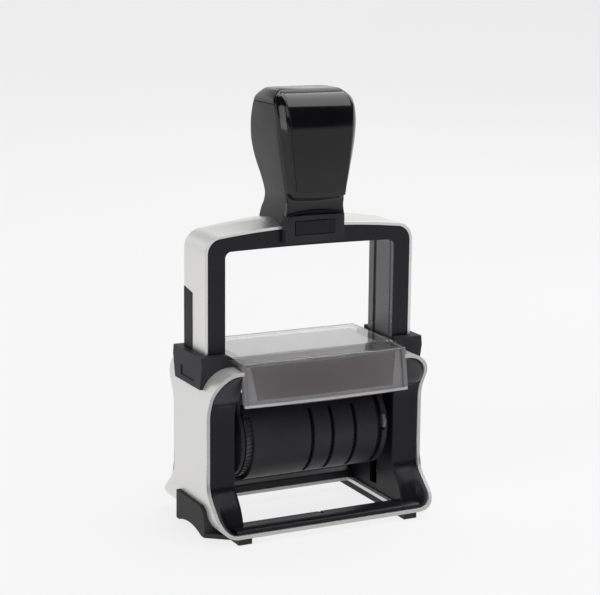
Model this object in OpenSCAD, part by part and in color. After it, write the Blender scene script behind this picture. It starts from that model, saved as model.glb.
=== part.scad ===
// Self-inking phrase and date stamp with a press-down bow.
// Millimetres, +Z up, X across the stamp, -Y towards the user, Z = 0 on the paper.
// The origin is the middle of the footprint. The bow slides down in two hollow side columns
// and carries the stamping unit, which turns half a turn between the ink pad and the paper.

/* [Base] */
// Outside width across the steel band
base_w = 80; // [79:0.5:81]
// Depth of the base at the paper
foot_d = 50.8; // [50:0.2:53]
// Depth of the base at its waist
waist_d = 27.6; // [27:0.2:29]
// Depth of the base across its shoulders
shoulder_d = 40.8; // [39:0.2:42]
// Height of the steel shoulders
shoulder_z = 56.5; // [56:0.25:57]
// Outside radius of the steel shoulders
shoulder_r = 9; // [8:0.5:9.5]
// Outside radius of the steel at the feet
foot_r = 6.5; // [5:0.5:8]
// Thickness of the steel sheet
steel_t = 1.2; // [0.8:0.1:1.3]
// Gap between the steel bottom and the paper
sole_h = 2.4; // [2:0.1:2.6]
// Width of the stamping window
window_w = 56; // [55.5:0.5:56.5]
// Depth of the stamping window
window_d = 32; // [31:0.5:33]

/* [Bow] */
// Outside width of the bow
bow_w = 76.4; // [76:0.1:76.6]
// Depth of the bow, front to back
bow_d = 17; // [16:0.1:17.2]
// Width of the hand opening
opening_w = 62; // [61.8:0.1:62.4]
// Height of the underside of the bow
opening_z = 94.1; // [94:0.1:97]
// Height of the bow's steel top at its middle
bow_z = 101.2; // [100.5:0.1:103]
// Thickness of the bow's steel skin
skin_t = 1; // [0.8:0.05:1.1]

/* [Handle] */
// Overall height of the stamp
overall_h = 145.1; // [144:0.1:150]
// Widest point of the grip
grip_w = 28.6; // [27:0.2:30]
// Width of the panel on the grip
panel_w = 23; // [21:0.2:23.4]

/* [Mechanism] */
// Height of the turning axis at rest
axis_z = 41; // [40.8:0.1:41.2]
// Travel of the bow
travel = 32; // [31:0.1:32]
// Distance from the turning axis to the printing face
print_h = 8.8; // [8.6:0.05:8.8]
// Distance from the turning axis to the wheel axle
wheel_drop = 11; // [10.8:0.1:11.2]
// Outside radius of the drum
drum_r = 15.2; // [15.2:0.05:15.3]
// Radius of the date wheels
wheel_r = 14.3; // [14:0.05:14.35]
// Notches round each date wheel
wheel_teeth = 60; // [30:1:72]

/* [Hidden] */
$fn = 48;
eps = 0.01;              // overshoot of a cut, so that no zero-thick skin stays
fit = 0.05;              // radial clearance of a running fit
gap = 0.3;               // clearance between parts that move past each other
far = 200;               // longer than anything in the stamp

// Base, from outside to inside
band_end_x = 29.6;                       // where the steel ends beside the clear cover
plate_top = sole_h + steel_t;            // top of the steel bottom plate
wall_x = base_w / 2 - steel_t - 0.05;    // outer side of the black columns
column_x = 29.5;                         // inner side of the black columns
column_wall = 1.2;                       // thickness of a column's inner wall
floor_z = plate_top + 1.6;               // top of the black floor and bars
back_bar_z = [6.4, 8.2, 9.8];            // back bar: inner edge, foot of its rear ledge, ledge
back_bar_y = 21.4;                       // where that ledge starts
depth_inset = 0.4;                       // how far the black body stands back from the steel edge
face_step = 0.9;                         // recess of the columns' faces below the shoulders
foot_top_z = 17.6;                       // where the waist starts
shoulder_low_z = 40;                     // where the waist ends
waist_step_z = [15.5, 43.5];             // recessed stretch of the columns' faces
leg_gap = 0.35;                          // clearance round a bow leg
slot_half = 2.4;                         // half width of the axle slot in a column wall
slot_z = [6.2, 45];                      // axle slot's ends

// Collars and feet
collar_x = [28.5, 40.9];
collar_z = [49.5, 60.3];
collar_inner_z = 58;                     // lower inner side, clear of the opening's corners when down
recess_y = 5.6;                          // half width of the plain recess in a collar's outer side
recess_z = [51.4, 54.8];
recess_depth = 0.4;
sole_x = [28.4, 33.2];
sole_half_d = 24;
foot_x = 41.4;
foot_side_z = [0.9, 10.8];
foot_arch_r = 26;                        // hollow under the heel, seen from the side
foot_arch = [-3, -23.4];                 // its centre in Y and Z

// Ink pad, label and cover
bay_x = 25.5;                            // inner side of the pad housing's cheeks
housing_x = 26.4;                        // outer side of the pad housing under the cover
bay_front_y = -16.6;
skirt_z = 45.6;
cheek_z = [50.6, 55.25];
housing_front_y = -17.55;
housing_half_d = 17.4;
housing_top_z = 57.4;
felt_z = [axis_z + print_h + gap, 53.5];
felt_x = 24.4;
felt_half_d = 11.6;
tray_x = 25.2;
tray_y = [-16.2, 17.2];
tray_z = [51.2, 55.8];
runner_x = 27.3;
runner_z = [52.1, 53.3];
pull_x = 24;                             // finger bar at the back of the tray
pull_y = 19.4;
pull_z = [47.4, 56];
scoop_r = 6;
scoop_x = 9;
scoop_depth = 1.4;
card_t = 0.35;
card_x = 25.6;
card_back_y = 17;
card_low = [-19.4, 46.4];                // inner lower edge of the front flap
cover_t = 1.5;
cover_x = [29.2, 28.1];                  // half width of the cover at its bottom and top
cover_z = [44.9, 59.6];
cover_front_y = [-21.9, -19.5];          // front of the cover at its bottom and top
cover_back_y = 19.3;
cover_side_z = 55.5;                     // bottom of the cover's short sides and back
cover_cheek_y = -18.5;                   // back of the cover's front cheeks

// Bow
leg_x = opening_w / 2;                   // inner side of a leg
core_x = bow_w / 2 - skin_t - 0.05;      // outer side of the black core
leg_low_z = 37.6;
skin_low_z = 39.3;                       // the outer layers end higher, clear of the steel's bend
arch_r = 267;                            // radius of the bow's slightly arched top
opening_arch_r = 1200;                   // the opening's top is flatter
corner_r = 6;
opening_r = 2.2;
inlay_y = [1.8, 8.5];
inlay_top_z = 80.4;
inlay_proud = 0.2;
spring_x = 34.1;
spring_y = 4.8;
spring_bore_r = 2.3;
spring_r = 1.75;                         // helix radius at the middle of the wire
wire_r = 0.25;
spring_top_z = 88;
rod_r = 1.2;
rod_top_z = 54;
spring_turns = 15;

// Handle and lock
neck_x = 10.8;
saddle_y = [-11, 9.6];
saddle_z = 95.3;
shell_front_y = -11.9;
bezel_y = -14.7;
panel_y = -15.3;
panel_z = [111.6, 141.5];
screw_x = 6;
screw_r = 1.2;
screw_head_r = 2.3;
screw_top_z = 111;
button_x = 7.1;
button_z = [98.1, 102.5];
button_t = 0.9;
button_gap = 0.2;
pocket_y = -8.55;
lock_top_z = 104.3;
leaf_x = 4;                              // small leaf spring behind the button
leaf_z = [99.6, 101];

// Stamping unit, in its resting place
wheel_z = axis_z - wheel_drop;
end_x = 26;                              // inner side of the end plates
end_t = 1.2;
cam_x = 28.8;                            // outer side of the crank arms
peg_x = 29.2;
peg_drop = 9;                            // distance from the turning axis to a guide peg
peg_r = 1.5;
cam_r = [3.3, 2.3];                      // radii of a crank arm round its pin and its peg
pin_r = 1.8;
pin_x = 33.6;
axle_r = 1.5;
hub_r = 10.6;
band_gap = 0.3;
band_t = 1.1;
nose_r = 2.4;                            // radius of the rib that the bands turn over
print_z = axis_z + print_h;
nose_z = print_z - 0.2 - band_t - nose_r;
rib_low_z = 44.6;
end_plate_r = 13.4;
side_wall_y = 8.2;
side_wall_z = 42.8;
die_half_d = 9.5;
die_x = 25.6;                            // half width of the rubber die
die_window_x = 24.6;                     // half width of the slot that the bands print through
die_slot = 4.1;                          // half depth of that slot
die_z = [46.9, 48.3];
line_y = 6.8;                            // middle of each pair of raised lines
line_span = [0.5, 1.9];                  // the sunk strips beside the middle
line_depth = 0.8;
drum_x = [-22.9, 26];
drum_t = 0.8;
drum_mouth_y = 9.6;                      // half width of the drum's open top
drum_mouth_z = wheel_z + 5;
slot_reach = 10.4;                       // half height of the slots in the drum
slot_gap = 0.35;                         // clearance beside a disc in its slot
catch_x = 24.9;                          // left side of the catch at the drum's right end
catch_z = [30.2, 34.8];
disc_t = 1.6;
phrase_disc = [-25.6, -23.2];
phrase_end_x = -3.2;
phrase_r = 13.9;
phrase_teeth = 60;
tooth_depth = 0.35;
// x of the left edge of each disc, and the span of the hub beside it
day_x = [-2.8, -1.2, 4.3];
month_x = [4.7, 6.3, 12.8];
tens_x = [13.2, 14.8, 18.2];
units_x = [22.6, 18.6, 22.6];
disc_starts = [day_x[0], month_x[0], tens_x[0], units_x[0]];

// ---------- outlines ----------

function ease(t) = let (c = min(1, max(0, t))) c * c * (3 - 2 * c);

// Half depth of the base at height z: wide feet, narrow waist, wide shoulders
function half_depth(z) =
    waist_d / 2
    + (foot_d - waist_d) / 2 * ease((foot_top_z - z) / (foot_top_z - sole_h))
    + (shoulder_d - waist_d) / 2 * ease((z - shoulder_low_z) / (shoulder_z - shoulder_low_z));

function depth_heights() = concat(
    [for (i = [0:9]) sole_h + (foot_top_z - sole_h) * i / 9],
    [for (i = [0:9]) shoulder_low_z + (shoulder_z + 0.5 - shoulder_low_z) * i / 9]);

function backwards(p) = [for (i = [len(p) - 1:-1:0]) p[i]];
function mirrored(p) = [for (q = backwards(p)) [-q[0], q[1]]];

// Y-Z outline of the base, stood back by inset
function depth_outline(inset) =
    let (side = [for (z = depth_heights()) [half_depth(z) - inset, z]])
    concat(side, mirrored(side));

function arc(x, z, r, from, to, n) =
    [for (i = [0:n]) let (a = from + (to - from) * i / n) [x + r * cos(a), z + r * sin(a)]];

// Right half of the band's X-Z outline, inset below its outer surface
function band_side(inset) = concat(
    [[band_end_x, shoulder_z - inset]],
    arc(base_w / 2 - shoulder_r, shoulder_z - shoulder_r, shoulder_r - inset, 90, 0, 10),
    arc(base_w / 2 - foot_r, sole_h + foot_r, foot_r - inset, 0, -90, 8));

function band_outline(inset) = concat(band_side(inset), mirrored(band_side(inset)));

// X-Z outline of an arched bow down to z = low
function arch_z(x, top, bend) = top - x * x / (2 * bend);
function bow_side(half_w, top, r, low, bend) = concat(
    [[half_w, low]],
    arc(half_w - r, arch_z(half_w - r, top, bend) - r, r, 0, 84, 8),
    [for (x = [0.8:-0.2:0.2]) [x * (half_w - r), arch_z(x * (half_w - r), top, bend)]]);
function bow_outline(half_w, top, r, low, bend = arch_r) = let (side = bow_side(half_w, top, r, low, bend))
    concat(side, [[0, top]], mirrored(side));

// Loop outline round the wheel hubs and over the nose rib, grown by t
function loop_outline(t) =
    let (lean = asin((hub_r + band_gap - nose_r) / (nose_z - wheel_z)))
    concat(arc(0, nose_z, nose_r + t, lean, 180 - lean, 10),
           arc(0, wheel_z, hub_r + band_gap + t, 180 - lean, 360 + lean, 28));

function toothed(r, depth, n) = [for (i = [0:n - 1], k = [0:3])
    let (a = 360 / n * (i + [0, 0.42, 0.5, 0.92][k])) (k < 2 ? r : r - depth) * [cos(a), sin(a)]];

// Helix points for one spring: a ring of wire sections swept up the coil
function helix_points(r, w, low, high, turns, per_turn, sides) =
    let (n = turns * per_turn)
    [for (i = [0:n], j = [0:sides - 1])
        let (a = 360 * i / per_turn, b = 360 * j / sides, q = r + w * cos(b))
        [q * cos(a), q * sin(a), low + w + (high - low - 2 * w) * i / n + w * sin(b)]];
function helix_faces(rings, sides) = concat(
    [[for (j = [0:sides - 1]) j]],
    [for (i = [0:rings - 1], j = [0:sides - 1], half = [0, 1])
        let (k = (j + 1) % sides, a = i * sides, b = a + sides)
        half == 0 ? [a + k, a + j, b + j] : [a + k, b + j, b + k]],
    [[for (j = [sides - 1:-1:0]) rings * sides + j]]);

// ---------- helpers ----------

// Extrudes an X-Z outline along Y, centred
module along_y(d) rotate([90, 0, 0]) linear_extrude(d, center = true) children();

// Extrudes a Y-Z outline along X from x0 to x1
module along_x(x0, x1) translate([x0, 0, 0]) rotate([90, 0, 90]) linear_extrude(x1 - x0) children();

// Box between two corners
module box(a, b) translate(a) cube(b - a);

// Cylinder along X
module rod_x(r, x0, x1, y, z) translate([x0, y, z]) rotate([0, 90, 0]) cylinder(r = r, h = x1 - x0);

// Leaves a piece drawn on the +X side where it is, or mirrors it to the left
module side(s) mirror([s < 0 ? 1 : 0, 0, 0]) children();

module base_depth(inset) along_x(-far / 2, far / 2) polygon(depth_outline(inset));

// ---------- base ----------

module steel_band() color("silver")
    difference() {
        intersection() {
            along_y(far) polygon(concat(band_outline(0), backwards(band_outline(steel_t))));
            base_depth(0);
        }
        box([-window_w / 2, -window_d / 2, 0], [window_w / 2, window_d / 2, 10]);
        for (s = [-1, 1]) side(s)
            box([band_end_x - 1, -bow_d / 2 - leg_gap, 47],
                [wall_x, bow_d / 2 + leg_gap, shoulder_z + 1]);
    }

module column_solid() intersection() {
    along_y(far) polygon(band_outline(steel_t + 0.05));
    box([column_x, -foot_d, plate_top + 0.05], [wall_x, foot_d, shoulder_z - steel_t - 0.05]);
}

module base_body() color([0.14, 0.14, 0.15])
    intersection() {
        base_depth(depth_inset);
        difference() {
            union() {
                for (s = [-1, 1]) side(s) column_solid();
                for (s = [-1, 1])
                    box([-column_x - eps, min(s * window_d / 2, s * foot_d), plate_top + 0.05],
                        [column_x + eps, max(s * window_d / 2, s * foot_d), floor_z]);
                along_x(-column_x - eps, column_x + eps) polygon([
                    [window_d / 2, plate_top + 0.1], [window_d / 2, back_bar_z[0]], [back_bar_y, back_bar_z[1]],
                    [back_bar_y, back_bar_z[2]], [foot_d, back_bar_z[2]], [foot_d, plate_top + 0.1]]);
            }
            for (s = [-1, 1]) side(s) {
                box([column_x + column_wall, -bow_d / 2 - leg_gap, floor_z],
                    [far, bow_d / 2 + leg_gap, far]);
                box([column_x - 1, -slot_half, slot_z[0]], [column_x + 2, slot_half, slot_z[1]]);
                for (t = [-1, 1])
                    translate([0, t * (waist_d / 2 - depth_inset - face_step + 10), 0])
                        box([column_x + 1.6, -10, waist_step_z[0]], [wall_x - 0.5, 10, waist_step_z[1]]);
            }
        }
    }

module collar() difference() {
    intersection() {
        box([collar_x[0], -20, collar_z[0]], [collar_x[1], 20, collar_z[1]]);
        along_x(0, far) polygon([[-10.4, collar_z[0]], [-12.1, 57.3], [-11.6, collar_z[1]],
                                 [11.6, collar_z[1]], [12.1, 57.3], [10.4, collar_z[0]]]);
    }
    along_y(far) polygon(band_outline(-0.03));
    box([leg_x - 0.15, -bow_d / 2 - 0.15, 40], [bow_w / 2 + inlay_proud + 0.15, bow_d / 2 + 0.15, far]);
    box([collar_x[1] - recess_depth, -recess_y, recess_z[0]], [far, recess_y, recess_z[1]]);
    box([0, -far, collar_inner_z], [leg_x + 0.2, far, far]);
}
module collar_left() color([0.12, 0.12, 0.13]) side(-1) collar();
module collar_right() color([0.12, 0.12, 0.13]) side(1) collar();

// Rubber foot: a sole strip beside the window and a heel that wraps the steel's lower corner
module foot() {
    box([sole_x[0], -sole_half_d, 0], [sole_x[1], sole_half_d, sole_h]);
    difference() {
        union() {
            translate([0, 0, foot_side_z[0]]) linear_extrude(sole_h - foot_side_z[0])
                polygon([[sole_x[1] - eps, -21], [foot_x, -14.6], [foot_x, 8.6], [sole_x[1] - eps, 12]]);
            intersection() {
                box([34, -20, foot_side_z[0]], [foot_x, 20, foot_side_z[1]]);
                along_x(0, far) polygon([[-14.6, foot_side_z[0]], [-15, 6.1], [-13.8, 9.5],
                    [-11.4, foot_side_z[1]], [8.4, foot_side_z[1]], [8.6, foot_side_z[0]]]);
            }
        }
        along_y(far) polygon(band_outline(-0.03));
        rod_x(foot_arch_r, 36, far, foot_arch[0], foot_arch[1]);
    }
}
module foot_left() color([0.1, 0.1, 0.1]) side(-1) foot();
module foot_right() color([0.1, 0.1, 0.1]) side(1) foot();

// Frame that holds the pad tray between the columns and carries the label
module pad_housing() color([0.16, 0.15, 0.16]) difference() {
    union() {
        box([-column_x + 0.05, -housing_half_d, cheek_z[0]], [column_x - 0.05, housing_half_d, cheek_z[1]]);
        box([-housing_x, -housing_half_d, cheek_z[0]], [housing_x, housing_half_d, housing_top_z]);
        box([-housing_x, housing_front_y, skirt_z], [housing_x, bay_front_y, housing_top_z]);
    }
    box([-bay_x, bay_front_y, skirt_z - 1], [bay_x, 20, tray_z[1] + gap]);
    box([-runner_x - gap, bay_front_y, runner_z[0] - 0.2], [runner_x + gap, 20, runner_z[1] + 0.2]);
}

// Folded paper label: a level top and a front flap that slopes behind the cover
module label_card() color([0.8, 0.79, 0.78]) along_x(-card_x, card_x) polygon([
    [card_back_y, housing_top_z], [card_back_y, housing_top_z + card_t],
    [housing_front_y - card_t, housing_top_z + card_t], [card_low[0] - card_t, card_low[1]],
    card_low, [housing_front_y, housing_top_z]]);

// Y-Z outline of the cover: a sloping front with a rounded upper edge, and a level top
module cover_profile(t, below) polygon(concat(
    [[cover_back_y + below, cover_z[0] - below], [cover_front_y[0] + t, cover_z[0] - below]],
    arc(cover_front_y[1] + 1.8, cover_z[1] - 1.8, 1.8 - t, 174, 90, 6),
    [[cover_back_y + below, cover_z[1] - t]]));

module clear_cover() color([0.5, 0.5, 0.5, 0.4]) difference() {
    intersection() {
        along_x(-cover_x[0], cover_x[0]) cover_profile(0, 0);
        along_y(far) polygon([[-cover_x[0], cover_z[0]], [cover_x[0], cover_z[0]],
                              [cover_x[1], cover_z[1]], [-cover_x[1], cover_z[1]]]);
    }
    along_x(-housing_x - 0.1, housing_x + 0.1) cover_profile(cover_t, 1);
    box([-far / 2, cover_cheek_y, 0], [far / 2, far, cover_side_z]);
}

module spring_rod(s) color("silver")
    translate([s * spring_x, spring_y, floor_z]) cylinder(r = rod_r, h = rod_top_z - floor_z);
module spring_rod_left() spring_rod(-1);
module spring_rod_right() spring_rod(1);

module return_spring(s) color("gray") translate([s * spring_x, spring_y, 0])
    polyhedron(helix_points(spring_r, wire_r, floor_z + 0.05, spring_top_z - 0.05, spring_turns, 8, 5),
               helix_faces(spring_turns * 8, 5));
module return_spring_left() return_spring(-1);
module return_spring_right() return_spring(1);

// ---------- ink pad cartridge ----------

module pad_tray() color([0.1, 0.1, 0.11]) difference() {
    union() {
        box([-tray_x, tray_y[0], tray_z[0]], [tray_x, tray_y[1], tray_z[1]]);
        box([-runner_x, tray_y[0], runner_z[0]], [runner_x, tray_y[1], runner_z[1]]);
        box([-pull_x, tray_y[1] - eps, pull_z[0]], [pull_x, pull_y, pull_z[1]]);
    }
    box([-felt_x, -felt_half_d, 0], [felt_x, felt_half_d, felt_z[1]]);
    rod_x(scoop_r, -scoop_x, scoop_x, pull_y + scoop_r - scoop_depth, (pull_z[0] + pull_z[1]) / 2);
}

module ink_felt() color([0.12, 0.1, 0.25])
    box([-felt_x, -felt_half_d, felt_z[0]], [felt_x, felt_half_d, felt_z[1]]);

// ---------- bow and handle ----------

module bow_solid(half_w, top, r, low) along_y(bow_d) polygon(bow_outline(half_w, top, r, low));

module opening() along_y(far)
    polygon(bow_outline(leg_x, opening_z, opening_r, 0, opening_arch_r));

module bow_core() color([0.12, 0.12, 0.13]) difference() {
    bow_solid(core_x, bow_z - skin_t - 0.05, corner_r - skin_t, leg_low_z);
    opening();
    for (s = [-1, 1]) side(s) {
        translate([spring_x, spring_y, 0]) cylinder(r = spring_bore_r, h = spring_top_z);
        rod_x(pin_r + fit, leg_x - 1, pin_x + 0.2, 0, axis_z);
        translate([screw_x, 0, 90]) cylinder(r = screw_r, h = 20);
        translate([screw_x, 0, 90]) cylinder(r = screw_head_r + 0.1, h = opening_z + 1.5 - 90);
    }
}

module bow_skin() color("silver") difference() {
    bow_solid(bow_w / 2, bow_z, corner_r, skin_low_z);
    translate([0, 0, -1])
        bow_solid(core_x + 0.05, bow_z - skin_t + 1, corner_r - skin_t, 0);
    for (s = [-1, 1]) side(s) {
        inlay_cut();
        translate([screw_x, 0, 90]) cylinder(r = screw_r, h = 20);
    }
}

module inlay_cut() along_x(core_x + 0.05, bow_w / 2 + inlay_proud)
    polygon([[inlay_y[0], 0], [inlay_y[0], inlay_top_z - 1.4],
             [inlay_y[1], inlay_top_z], [inlay_y[1] + 1, 0]]);

module bow_inlay() intersection() {
    inlay_cut();
    box([30, -bow_d / 2, skin_low_z], [45, bow_d / 2, far]);
}
module bow_inlay_left() color([0.1, 0.1, 0.1]) side(-1) bow_inlay();
module bow_inlay_right() color([0.1, 0.1, 0.1]) side(1) bow_inlay();

// Half widths of the grip, from its neck to its top
module grip_front() let (g = grip_w / 2, h = overall_h) polygon(let (side = [
    [neck_x + 0.1, bow_z - 0.6], [neck_x - 0.1, 105], [neck_x - 0.4, 107.5], [neck_x + 0.2, 112],
    [0.825 * g, 116], [0.87 * g, 120], [0.915 * g, 124], [0.955 * g, 128], [0.985 * g, 132], [g, 136],
    [0.99 * g, 139.5], [0.95 * g, 142], [0.9 * g, 143.4], [0.45 * g, h - 0.3]])
    concat(side, [[0, h]], mirrored(side)));

// Side view of the grip: an upright front and a palm swell behind
module grip_side() polygon([
    [saddle_y[0] + 0.6, bow_z - 0.6], [-10.2, 104.5], [-9.9, 107.5], [-10.4, 109.8], [shell_front_y, 111.6],
    [shell_front_y, 134], [-11.4, 138], [-10.2, 141], [-7.6, 143.6], [-4, 144.8], [0, overall_h],
    [3, 144.7], [5.2, 142.6], [6.2, 139.5], [7.3, 136], [8.5, 132], [9.2, 128], [9, 124], [7.6, 120],
    [5.3, 116], [4.3, 112], [4.5, 110], [5.8, 107.5], [8.2, 104.5], [8.8, bow_z - 0.6]]);

module handle_shell() color([0.2, 0.2, 0.21]) difference() {
    intersection() {
        along_y(far) grip_front();
        along_x(-far / 2, far / 2) grip_side();
    }
    bow_solid(bow_w / 2, bow_z, corner_r, 0);
    for (s = [-1, 1]) translate([s * screw_x, 0, 90]) cylinder(r = screw_r, h = screw_top_z + 1 - 90);
    box([-neck_x, saddle_y[0] - 1, 90], [neck_x, -bow_d / 2 - 0.05, lock_top_z + 0.05]);
}

// Glossy sloping surround of the panel
module handle_bezel() color([0.05, 0.05, 0.05]) difference() {
    intersection() {
        along_y(far) grip_front();
        along_x(-far / 2, far / 2) polygon([
            [shell_front_y - 0.02, 111.6], [bezel_y, 111.2], [bezel_y - 0.4, 125],
            [bezel_y + 0.4, 138], [-12.6, 141.5], [-10.6, 143], [shell_front_y - 0.02, 138]]);
        linear_extrude(far) polygon([[-14.4, -11.8], [14.4, -11.8], [11.4, -15.6], [-11.4, -15.6]]);
    }
    along_x(-far / 2, far / 2) grip_side();
    panel_solid(0.02);
}

module panel_solid(grow) intersection() {
    along_y(far) polygon([[-9.7 - grow, 112.6 - grow], [9.7 + grow, 112.6 - grow],
        [panel_w / 2 + grow, 132], [panel_w / 2 + grow, 137], [panel_w / 2 - 0.6 + grow, 140.4 + grow],
        [-panel_w / 2 + 0.6 - grow, 140.4 + grow], [-panel_w / 2 - grow, 137], [-panel_w / 2 - grow, 132]]);
    along_x(-far / 2, far / 2) polygon([[shell_front_y - 1.4 + grow, 111], [panel_y + 0.4, 111],
        [panel_y, 125], [panel_y + 0.7, 138], [panel_y + 2.4, 141.5], [shell_front_y - 1 + grow, 141.5]]);
}
module handle_panel() color([0.03, 0.03, 0.03]) panel_solid(0);

module handle_screws() color("silver") for (s = [-1, 1]) translate([s * screw_x, 0, 0]) {
    translate([0, 0, opening_z + 0.2]) cylinder(r = screw_head_r, h = 1.3);
    translate([0, 0, opening_z + 1.5 - eps]) cylinder(r = screw_r, h = screw_top_z - opening_z - 1.5);
}

// Saddle round the bow's middle with the pocket of the lock button in front
module lock_housing() color([0.13, 0.13, 0.14]) difference() {
    box([-neck_x, saddle_y[0], saddle_z], [neck_x, pocket_y, lock_top_z]);
    box([-button_x - button_gap, -20, button_z[0] - button_gap],
        [button_x + button_gap, pocket_y - 0.4, button_z[1] + button_gap]);
}

module lock_spring() color("silver") difference() {
    box([-leaf_x, pocket_y - 0.65, leaf_z[0]], [leaf_x, pocket_y - 0.4, leaf_z[1]]);
    box([-leaf_x / 3, -far, leaf_z[0] - 1], [leaf_x / 3, 0, leaf_z[0] + 0.6]);
}

module lock_button() color([0.16, 0.16, 0.17])
    box([-button_x, saddle_y[0] - 0.1, button_z[0]], [button_x, saddle_y[0] - 0.1 + button_t, button_z[1]]);

// ---------- stamping unit ----------

module end_plate() difference() {
    along_x(end_x, end_x + end_t) union() {
        translate([0, wheel_z]) circle(r = end_plate_r);
        translate([-die_half_d, wheel_z + 4]) square([2 * die_half_d, die_z[1] - 0.1 - wheel_z - 4]);
    }
    rod_x(pin_r, 20, 40, 0, axis_z);
    rod_x(axle_r, 20, 40, 0, wheel_z);
}

module unit_frame() color([0.13, 0.13, 0.14]) union() {
    for (s = [-1, 1]) side(s) end_plate();
    for (s = [-1, 1]) side_wall(s);
    box([-end_x - eps, 0.2 - nose_r, rib_low_z], [end_x + eps, nose_r - 0.2, nose_z]);
    difference() {
        rod_x(nose_r - 0.1, -die_window_x + 0.1, die_window_x - 0.1, 0, nose_z);
        box([-far, -far, 0], [far, far, rib_low_z]);
    }
}
module side_wall(s) mirror([0, s < 0 ? 1 : 0, 0])
    box([-end_x - eps, side_wall_y, side_wall_z], [end_x + eps, die_half_d, die_z[0] - 0.05]);

module drum_cover() color([0.12, 0.12, 0.13]) difference() {
    along_x(drum_x[0], drum_x[1] - 0.05) translate([0, wheel_z]) circle(r = drum_r);
    rod_x(drum_r - drum_t, -far, far, 0, wheel_z);
    box([-far, -drum_mouth_y, drum_mouth_z], [far, drum_mouth_y, far]);
    for (x = disc_starts)
        box([x - slot_gap, -far, wheel_z - slot_reach], [x + disc_t + slot_gap, far, wheel_z + slot_reach]);
    box([catch_x - 0.7, -far, catch_z[0] - 0.6], [far, -10, catch_z[1] + 0.6]);
}

// Pale catch in a notch at the drum's right end, on the end plate
module drum_catch() color([0.45, 0.45, 0.43])
    along_x(catch_x, end_x) polygon([[-12, catch_z[0]], [-14.3, catch_z[0]], [-14.9, catch_z[0] + 2.2],
                                     [-13.4, catch_z[1]], [-12, catch_z[1]]]);

module die_plate() color("silver") difference() {
    box([-end_x + 0.05, -die_half_d, die_z[0]], [end_x - 0.05, die_half_d, die_z[1]]);
    box([-die_window_x, -die_slot, 0], [die_window_x, die_slot, far]);
}

// Rubber printing die: a sheet with a raised border and plain raised lines
module text_die() color([0.55, 0.2, 0.18]) difference() {
    box([-die_x, -die_half_d, die_z[1]], [die_x, die_half_d, print_z]);
    box([-die_window_x, -die_slot, 0], [die_window_x, die_slot, far]);
    for (s = [-1, 1], t = [-1, 1])
        translate([0, s * line_y + t * (line_span[0] + line_span[1]) / 2, print_z - line_depth])
            translate([0, 0, 5])
                cube([2 * die_x - 1.6, line_span[1] - line_span[0], 10], center = true);
}

module wheel_axle() color("silver") rod_x(axle_r, -end_x - end_t, end_x + end_t, 0, wheel_z);

// Crank arm whose peg guides the half turn
module flip_cam() difference() {
    union() {
        rod_x(cam_r[0], end_x + end_t, cam_x, 0, axis_z);
        rod_x(cam_r[1], end_x + end_t, cam_x, 0, axis_z - peg_drop);
        box([end_x + end_t, -cam_r[1], axis_z - peg_drop], [cam_x, cam_r[1], axis_z]);
        rod_x(peg_r, cam_x - eps, peg_x, 0, axis_z - peg_drop);
    }
    rod_x(pin_r, 20, 40, 0, axis_z);
}
module flip_cam_left() color([0.3, 0.3, 0.28]) side(-1) flip_cam();
module flip_cam_right() color([0.3, 0.3, 0.28]) side(1) flip_cam();

module flip_pin_left() color("silver") rod_x(pin_r, -pin_x, -end_x, 0, axis_z);
module flip_pin_right() color("silver") rod_x(pin_r, end_x, pin_x, 0, axis_z);

module loop_band(x0, x1) along_x(x0 + 0.2, x1 - 0.2) difference() {
    polygon(loop_outline(band_t));
    polygon(loop_outline(0));
}
module phrase_band() color([0.35, 0.1, 0.1]) loop_band(phrase_disc[1], phrase_end_x);
module day_band() color([0.35, 0.1, 0.1]) loop_band(day_x[1], day_x[2]);
module month_band() color([0.35, 0.1, 0.1]) loop_band(month_x[1], month_x[2]);
module year_tens_band() color([0.35, 0.1, 0.1]) loop_band(tens_x[1], tens_x[2]);
module year_units_band() color([0.35, 0.1, 0.1]) loop_band(units_x[1], units_x[2]);

// Notched disc from x0 with a smooth hub from h0 to h1, free on the wheel axle
module wheel(x0, t, h0, h1, r, n) difference() {
    union() {
        translate([0, 0, wheel_z]) along_x(x0, x0 + t) polygon(toothed(r, tooth_depth, n));
        rod_x(hub_r, h0 - eps, h1 + eps, 0, wheel_z);
    }
    rod_x(axle_r + fit, -far, far, 0, wheel_z);
}
module phrase_wheel() color([0.14, 0.14, 0.14])
    wheel(phrase_disc[0], phrase_disc[1] - phrase_disc[0], phrase_disc[1], phrase_end_x,
          phrase_r, phrase_teeth);
module day_wheel() color([0.14, 0.14, 0.14])
    wheel(day_x[0], disc_t, day_x[1], day_x[2], wheel_r, wheel_teeth);
module month_wheel() color([0.14, 0.14, 0.14])
    wheel(month_x[0], disc_t, month_x[1], month_x[2], wheel_r, wheel_teeth);
module year_tens_wheel() color([0.14, 0.14, 0.14])
    wheel(tens_x[0], disc_t, tens_x[1], tens_x[2], wheel_r, wheel_teeth);
module year_units_wheel() color([0.14, 0.14, 0.14])
    wheel(units_x[0], disc_t, units_x[1], units_x[2], wheel_r, wheel_teeth);

steel_band();
base_body();
collar_left();
collar_right();
foot_left();
foot_right();
pad_housing();
label_card();
clear_cover();
spring_rod_left();
spring_rod_right();
return_spring_left();
return_spring_right();
pad_tray();
ink_felt();
bow_core();
bow_skin();
bow_inlay_left();
bow_inlay_right();
handle_shell();
handle_bezel();
handle_panel();
handle_screws();
lock_housing();
lock_spring();
lock_button();
unit_frame();
drum_cover();
drum_catch();
die_plate();
text_die();
wheel_axle();
flip_cam_left();
flip_cam_right();
flip_pin_left();
flip_pin_right();
phrase_band();
day_band();
month_band();
year_tens_band();
year_units_band();
phrase_wheel();
day_wheel();
month_wheel();
year_tens_wheel();
year_units_wheel();
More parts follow.
